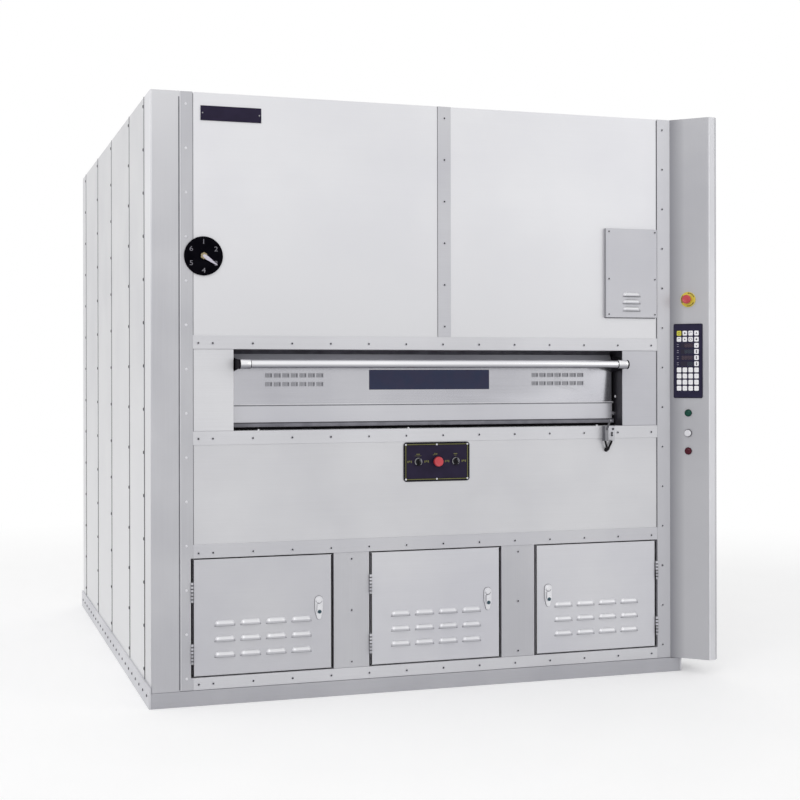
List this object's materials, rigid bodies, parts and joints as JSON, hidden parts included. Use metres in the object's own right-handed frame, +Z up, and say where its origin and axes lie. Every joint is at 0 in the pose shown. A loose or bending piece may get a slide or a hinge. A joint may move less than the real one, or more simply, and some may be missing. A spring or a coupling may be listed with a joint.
{
  "type": "electric cradle oven",
  "caption": "Floor-standing bakery oven with a riveted steel housing, a wide drop-down mouth door with a full-width bar, service doors with louvres and a control column",
  "frame": {"origin": "on the floor, under the centre of the oven's body", "axes": "+X to the right of someone facing the mouth, +Y to the back, +Z up"},
  "size_m": [2.211, 2.526, 2.2],
  "materials": {
    "plinth_paint": "grey paint, satin",
    "wall_paint": "light grey enamel, smooth",
    "panel_steel": "stainless sheet with a fine horizontal brush",
    "strip_steel": "stainless strip with a fine brush",
    "jamb_dark": "dark heat-proof paint, matt",
    "chamber_steel": "dull sheet",
    "bar_chrome": "polished",
    "arm_black": "black paint, satin",
    "window_navy": "dark glass-like strip, gloss",
    "plate_navy": "dark plate, satin",
    "dial_black": "matt black",
    "pointer_silver": "satin",
    "console_paint": "grey enamel, satin",
    "keypad_film": "membrane film",
    "lamp_green": "lens, gloss",
    "lamp_red": "lens, gloss, over the lower pilot lamp",
    "stop_red": "moulded, gloss",
    "ring_yellow": "moulded, satin",
    "ring_chrome": "polished",
    "button_white": "lens, gloss",
    "bezel_dark": "moulded",
    "knob_black": "moulded, satin",
    "switch_grey": "cast case, satin",
    "lever_steel": "satin",
    "lead_black": "matt",
    "latch_chrome": "satin chrome",
    "handle_chrome": "satin chrome",
    "hinge_steel": "satin"
  },
  "bodies": {
    "housing": {"base_plinth": "plinth_paint", "side_skirts": "plinth_paint", "left_wall_panels": "wall_paint", "right_wall_panels": "wall_paint", "rear_wall_panels": "wall_paint", "roof_panels": "wall_paint", "chamber_floor": "chamber_steel", "left_corner_post": "strip_steel", "right_corner_post": "wall_paint", "upper_left_panel": "panel_steel", "upper_right_panel": "panel_steel", "mouth_side_panels": "panel_steel", "mouth_jambs": "jamb_dark", "mouth_threshold": "chamber_steel", "middle_front_panel": "panel_steel", "service_posts": "strip_steel", "base_rail": "strip_steel", "upright_strips": "strip_steel", "centre_batten": "strip_steel", "cross_bands": "strip_steel", "vent_cover": "strip_steel", "name_plate": "plate_navy", "dial_face": "dial_black", "control_plate": "plate_navy", "button_bezels": "bezel_dark", "console_column": "console_paint", "keypad_panel": "keypad_film", "pilot_lamps": "lamp_green", "limit_switch": "switch_grey", "switch_leads": "lead_black", "fixed_hinges": "hinge_steel"},
    "main_door": {"main_door_leaf": "panel_steel", "main_door_window": "window_navy", "door_arms": "arm_black", "handle_bar": "bar_chrome"},
    "dial_hand": {"dial_pointer": "pointer_silver"},
    "left_selector": {"left_selector": "knob_black"},
    "right_selector": {"right_selector": "knob_black"},
    "stop_button": {"stop_button": "stop_red"},
    "estop_head": {"estop_head": "stop_red"},
    "push_button": {"push_button": "button_white"},
    "switch_lever": {"switch_lever": "lever_steel"},
    "service_door_left": {"service_door_left": "panel_steel", "latch_case_left": "latch_chrome"},
    "latch_handle_left": {"latch_handle_left": "handle_chrome"},
    "service_door_middle": {"service_door_middle": "panel_steel", "latch_case_middle": "latch_chrome"},
    "latch_handle_middle": {"latch_handle_middle": "handle_chrome"},
    "service_door_right": {"service_door_right": "panel_steel", "latch_case_right": "latch_chrome"},
    "latch_handle_right": {"latch_handle_right": "handle_chrome"}
  },
  "joints": [
    {"name": "main_door_hinge", "type": "hinge", "parent": "housing", "child": "main_door", "pos_m": [0.026, -1.125, 1.03], "axis": [1, 0, 0], "range_deg": [0, 90]},
    {"name": "service_door_left_hinge", "type": "hinge", "parent": "housing", "child": "service_door_left", "pos_m": [-0.90475, -1.212, 0.314], "axis": [0, 0, -1], "range_deg": [0, 110]},
    {"name": "latch_handle_left_pivot", "type": "hinge", "parent": "service_door_left", "child": "latch_handle_left", "pos_m": [-0.43583, -1.2142, 0.315], "axis": [1, 0, 0], "range_deg": [0, 35]},
    {"name": "service_door_middle_hinge", "type": "hinge", "parent": "housing", "child": "service_door_middle", "pos_m": [-0.23808, -1.212, 0.314], "axis": [0, 0, -1], "range_deg": [0, 110]},
    {"name": "latch_handle_middle_pivot", "type": "hinge", "parent": "service_door_middle", "child": "latch_handle_middle", "pos_m": [0.23083, -1.2142, 0.315], "axis": [1, 0, 0], "range_deg": [0, 35]},
    {"name": "service_door_right_hinge", "type": "hinge", "parent": "housing", "child": "service_door_right", "pos_m": [0.95125, -1.212, 0.314], "axis": [0, 0, 1], "range_deg": [0, 110]},
    {"name": "latch_handle_right_pivot", "type": "hinge", "parent": "service_door_right", "child": "latch_handle_right", "pos_m": [0.48233, -1.2142, 0.315], "axis": [1, 0, 0], "range_deg": [0, 35]},
    {"name": "dial_hand_turn", "type": "hinge", "parent": "housing", "child": "dial_hand", "pos_m": [-0.8615, -1.214, 1.6125], "axis": [0, -1, 0], "continuous": true},
    {"name": "left_selector_turn", "type": "hinge", "parent": "housing", "child": "left_selector", "pos_m": [-0.05, -1.209, 0.858], "axis": [0, -1, 0], "range_deg": [-45, 45]},
    {"name": "right_selector_turn", "type": "hinge", "parent": "housing", "child": "right_selector", "pos_m": [0.0995, -1.209, 0.858], "axis": [0, -1, 0], "range_deg": [-45, 45]},
    {"name": "stop_button_press", "type": "slide", "parent": "housing", "child": "stop_button", "axis": [0, 1, 0], "range_m": [0, 0.004], "stiffness_N_per_m": 500},
    {"name": "estop_press", "type": "slide", "parent": "housing", "child": "estop_head", "axis": [0.7071, 0.7071, 0], "range_m": [0, 0.004], "stiffness_N_per_m": 500},
    {"name": "push_button_press", "type": "slide", "parent": "housing", "child": "push_button", "axis": [0.7071, 0.7071, 0], "range_m": [0, 0.003], "stiffness_N_per_m": 300},
    {"name": "switch_lever_turn", "type": "hinge", "parent": "housing", "child": "switch_lever", "pos_m": [0.722, -1.233, 0.971], "axis": [0, 1, 0], "range_deg": [0, 12], "stiffness_Nm_per_rad": 0.05}
  ]
}
